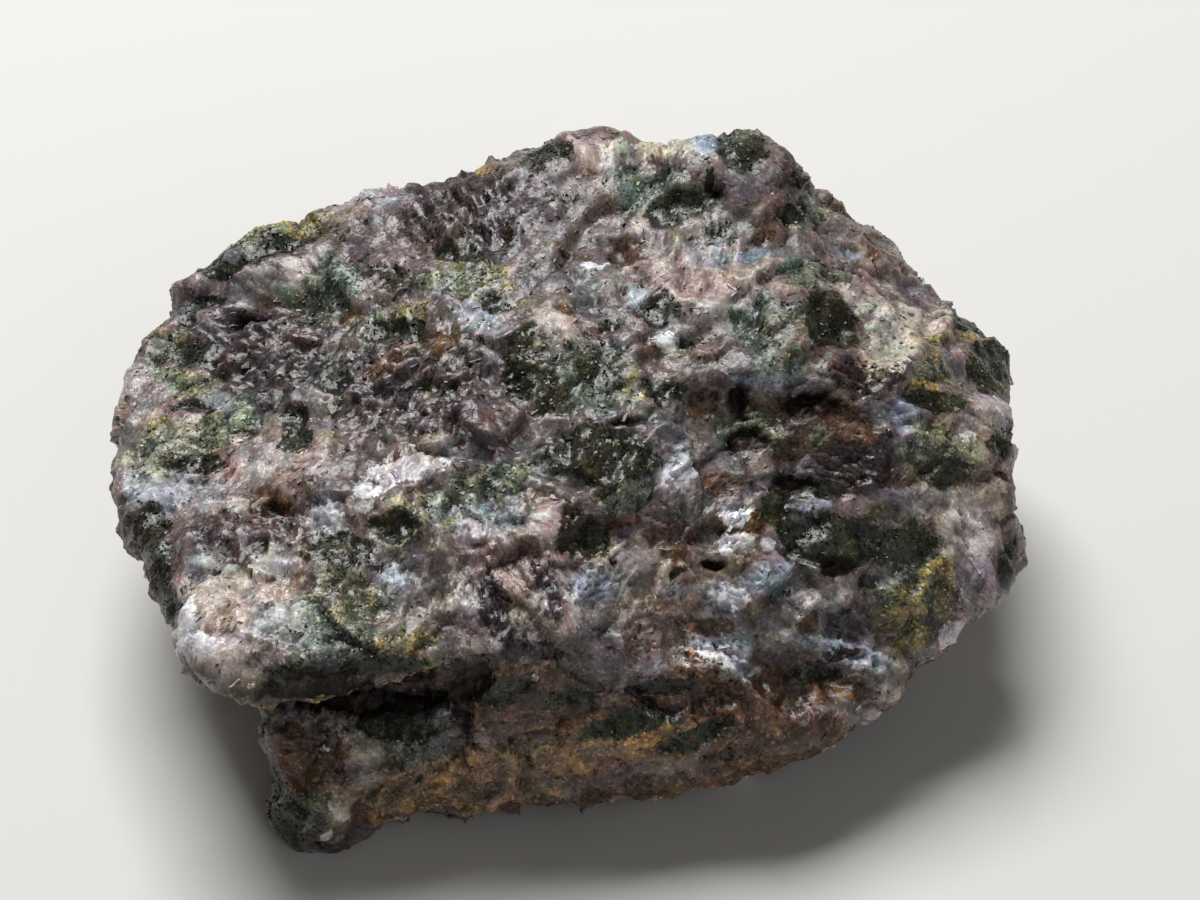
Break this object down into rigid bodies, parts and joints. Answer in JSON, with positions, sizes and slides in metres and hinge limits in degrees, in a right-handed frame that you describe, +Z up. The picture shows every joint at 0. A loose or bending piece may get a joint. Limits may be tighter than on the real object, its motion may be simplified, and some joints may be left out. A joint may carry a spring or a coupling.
{
  "type": "gabbro hand specimen",
  "caption": "Angular, coarse-grained hand specimen of gabbro, broken on every side, with an overhanging front ledge and a small foot, resting on a flat spot.",
  "frame": {"origin": "centre of the stone's footprint, on the plane it rests on", "axes": "+X to the right along the long side, +Y from the ledged front towards the back, +Z up"},
  "size_m": [0.0618, 0.0478, 0.0271],
  "materials": {
    "gabbro": "satin"
  },
  "bodies": {
    "root": {"gabbro": "gabbro"}
  },
  "joints": []
}
